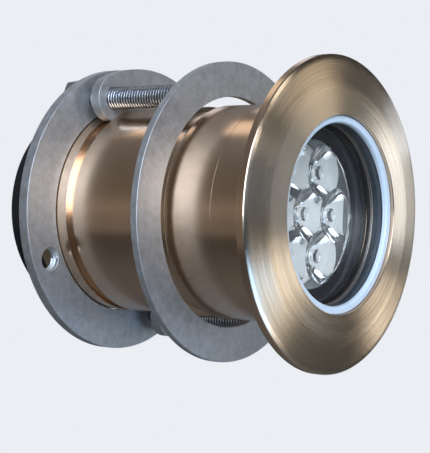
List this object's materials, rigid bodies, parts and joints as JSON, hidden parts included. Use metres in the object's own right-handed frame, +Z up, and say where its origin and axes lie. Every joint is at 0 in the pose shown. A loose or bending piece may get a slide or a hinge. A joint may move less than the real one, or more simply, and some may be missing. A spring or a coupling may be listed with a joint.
{
  "type": "underwater light",
  "caption": "Thru-hull underwater light: bronze housing with a domed flange and a round lens window, clamped to the hull by jack bolts, a horseshoe plate and a sliding pressure plate.",
  "frame": {"origin": "centre of the flange's back face, which seats on the outside of the hull", "axes": "+Y along the light's axis, from the window towards the cable end; +Z up, +X to the right for someone who looks along +Y"},
  "size_m": [0.132, 0.1708, 0.132],
  "materials": {
    "bronze": "circular-brushed flange, turned and polished tubes",
    "plate_steel": "bead-blasted plates with machined edges",
    "bolt_steel": "bright rolled thread",
    "small_screws": "bright steel",
    "white_polymer": "smooth white polymer",
    "window": "clear toughened glass",
    "optics": "clear moulded polymer",
    "black_rubber": "matt rubber",
    "baffle_black": "black anodised, turned",
    "board_white": "white solder mask on an aluminium core",
    "emitter": "phosphor under clear silicone",
    "thermal_silicone": "soft filled silicone",
    "sink_aluminium": "milled",
    "nickel_brass": "nickel-plated brass",
    "board_green": "solder mask on glass laminate",
    "capacitor_sleeve": "shrink sleeve",
    "choke_winding": "enamelled copper winding",
    "terminal_polymer": "moulded polymer",
    "cap_black": "knurled moulded polymer"
  },
  "bodies": {
    "housing": {"bezel_housing": "bronze", "tube_housing": "bronze", "seam_o_ring": "black_rubber", "window_seal_ring": "white_polymer", "window_glass": "window", "window_gasket": "black_rubber", "lens_baffle": "baffle_black", "lens_plate": "optics", "led_board": "board_white", "led_emitters": "emitter", "board_screws": "small_screws", "thermal_pad": "thermal_silicone", "heat_sink": "sink_aluminium", "heat_sink_lock_ring": "sink_aluminium", "driver_standoffs": "nickel_brass", "driver_board": "board_green", "driver_screws": "small_screws", "driver_capacitors": "capacitor_sleeve", "driver_choke": "choke_winding", "input_terminal": "terminal_polymer", "horseshoe_plate": "plate_steel", "rear_ring": "plate_steel", "rear_cap": "cap_black", "cap_o_ring": "black_rubber", "cap_screws": "small_screws", "gland_body": "nickel_brass", "gland_o_ring": "black_rubber", "gland_seal": "black_rubber", "gland_nut": "nickel_brass"},
    "pressure_plate": {"pressure_plate": "plate_steel"},
    "jack_bolt_1": {"jack_bolt_1": "bolt_steel"},
    "jack_bolt_2": {"jack_bolt_2": "bolt_steel"}
  },
  "joints": [
    {"name": "pressure_plate_travel", "type": "slide", "parent": "housing", "child": "pressure_plate", "axis": [0, 1, 0], "range_m": [-0.0012, 0.048]},
    {"name": "jack_1_turn", "type": "hinge", "parent": "pressure_plate", "child": "jack_bolt_1", "pos_m": [-0.02032, 0.085, 0.0503], "axis": [0, 1, 0], "range_deg": [-290, 11522]},
    {"name": "jack_2_turn", "type": "hinge", "parent": "pressure_plate", "child": "jack_bolt_2", "pos_m": [0.02032, 0.085, -0.0503], "axis": [0, 1, 0], "range_deg": [-290, 11522]}
  ],
  "couplings": [
    {"joint": "jack_1_turn", "follows": "pressure_plate_travel", "rad_per_m": 4188.8},
    {"joint": "jack_2_turn", "follows": "pressure_plate_travel", "rad_per_m": 4188.8}
  ]
}
